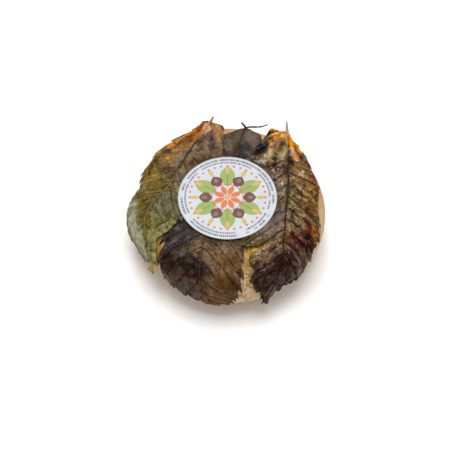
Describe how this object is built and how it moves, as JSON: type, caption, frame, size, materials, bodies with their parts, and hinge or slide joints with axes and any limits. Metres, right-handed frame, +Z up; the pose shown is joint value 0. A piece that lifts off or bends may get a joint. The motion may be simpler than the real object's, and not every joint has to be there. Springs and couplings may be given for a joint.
{
  "type": "leaf-wrapped pecorino wheel",
  "caption": "Small round sheep's-milk cheese wheel with rounded edges, dressed with dried brown-green chestnut leaves laid from back to front and a round paper label on top.",
  "frame": {"origin": "centre of the cheese's flat base", "axes": "+Z up through the wheel; +X to the right and -Y towards the viewer, where the leaves' tips hang; the stalks are at the back (+Y)"},
  "size_m": [0.1612, 0.162, 0.062],
  "materials": {
    "rind": "satin, finely wrinkled natural rind, golden tan",
    "leaf_middle": "dried leaf, dark brown and charcoal, satin",
    "leaf_left": "dried leaf, olive green to orange brown, satin",
    "leaf_right": "dried leaf, amber to dark brown, glossy and wrinkled",
    "label_paper": null
  },
  "bodies": {
    "root": {"cheese_wheel": "rind", "leaf_middle": "leaf_middle", "leaf_left": "leaf_left", "leaf_right": "leaf_right", "label": "label_paper"}
  },
  "joints": []
}
